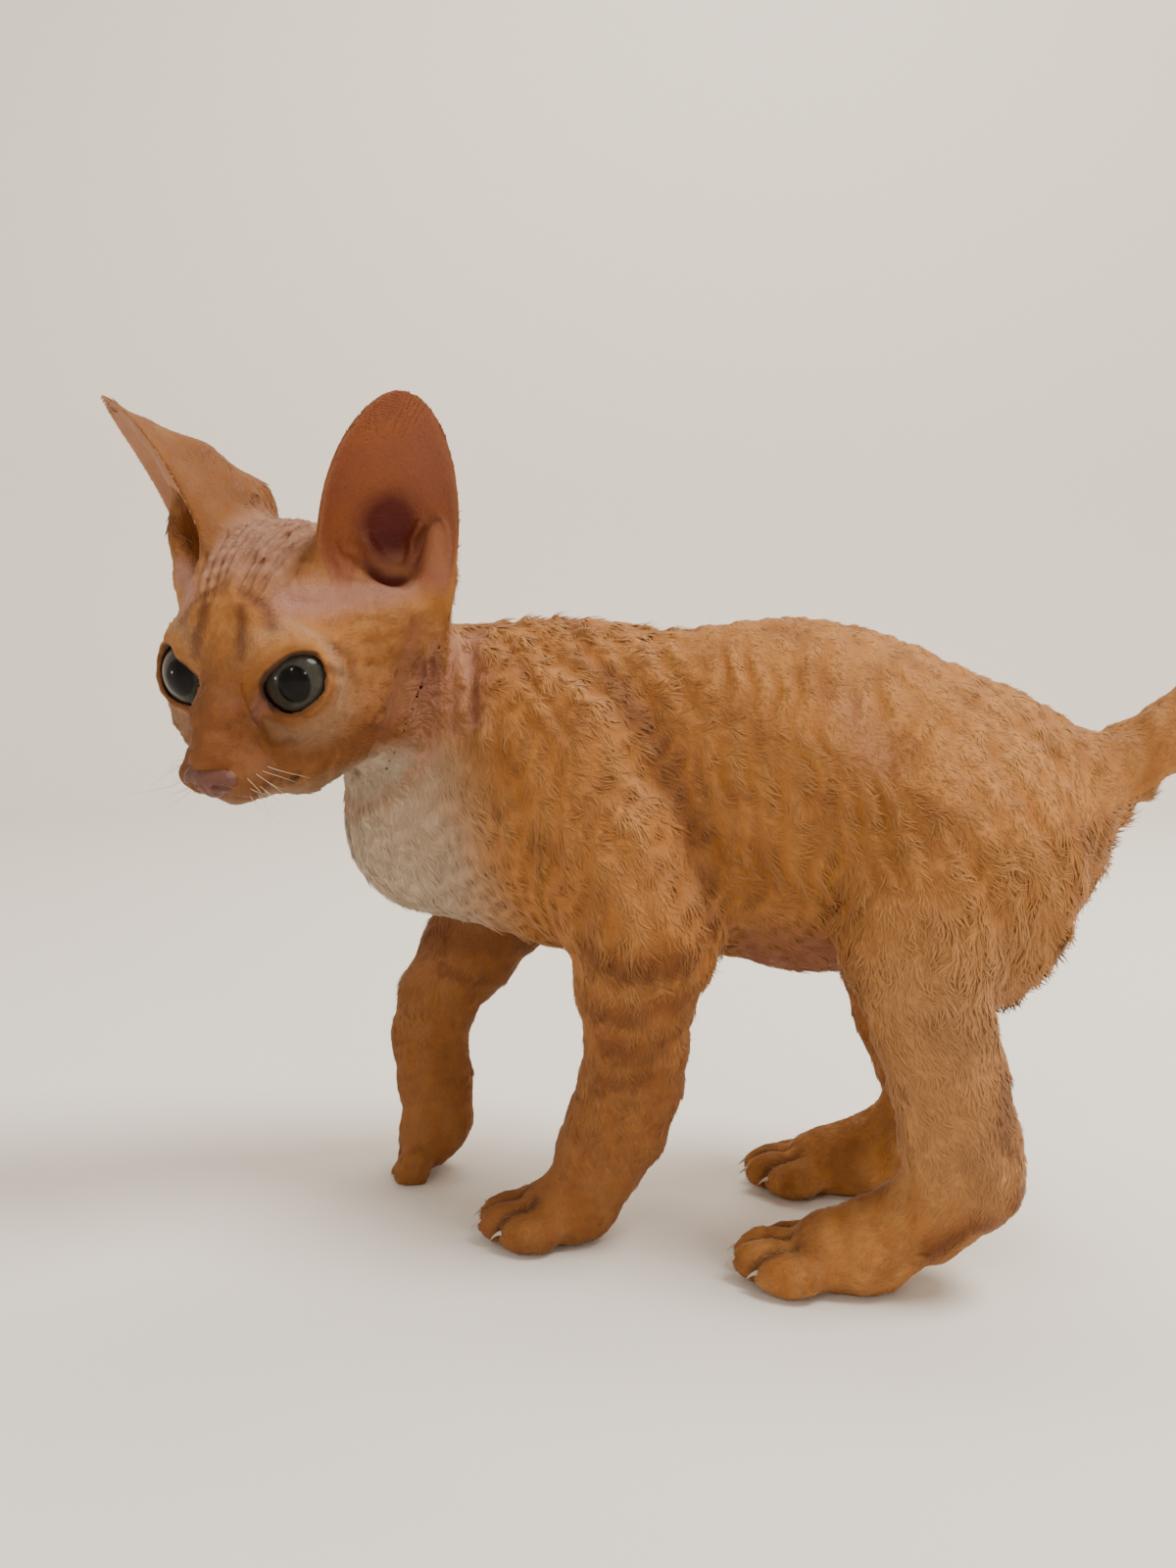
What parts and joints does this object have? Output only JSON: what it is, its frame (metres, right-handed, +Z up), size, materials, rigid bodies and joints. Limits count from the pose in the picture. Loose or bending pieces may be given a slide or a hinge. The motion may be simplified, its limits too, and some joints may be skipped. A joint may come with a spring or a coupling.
{
  "type": "devon rex cat",
  "caption": "Still, life-size devon rex kitten standing with its head turned to its left, in an orange tabby curly coat.",
  "frame": {"origin": "middle of the bounding box in plan, on the floor that the paws stand on", "axes": "+Z up, -Y the way the body points, +X the kitten's left side"},
  "size_m": [0.1054, 0.3068, 0.1918],
  "materials": {
    "coat": "matt, soft short fur in close waves, orange with rust bars",
    "bare_skin": "thin satin skin with very short fur, red-brown inside the ears",
    "nose_leather": "satin, pink-brown with fine bumps",
    "eye_glass": "wet gloss over a grey-green iris and a large dark pupil"
  },
  "bodies": {
    "root": {"head": "coat", "nose": "nose_leather", "ear_left": "bare_skin", "ear_right": "bare_skin", "eye_left": "eye_glass", "eye_right": "eye_glass", "neck": "coat", "torso": "coat", "foreleg_left": "coat", "foreleg_right": "coat", "hindleg_left": "coat", "hindleg_right": "coat", "forepaw_left": "coat", "forepaw_right": "coat", "hindpaw_left": "coat", "hindpaw_right": "coat", "tail": "coat"}
  },
  "joints": []
}
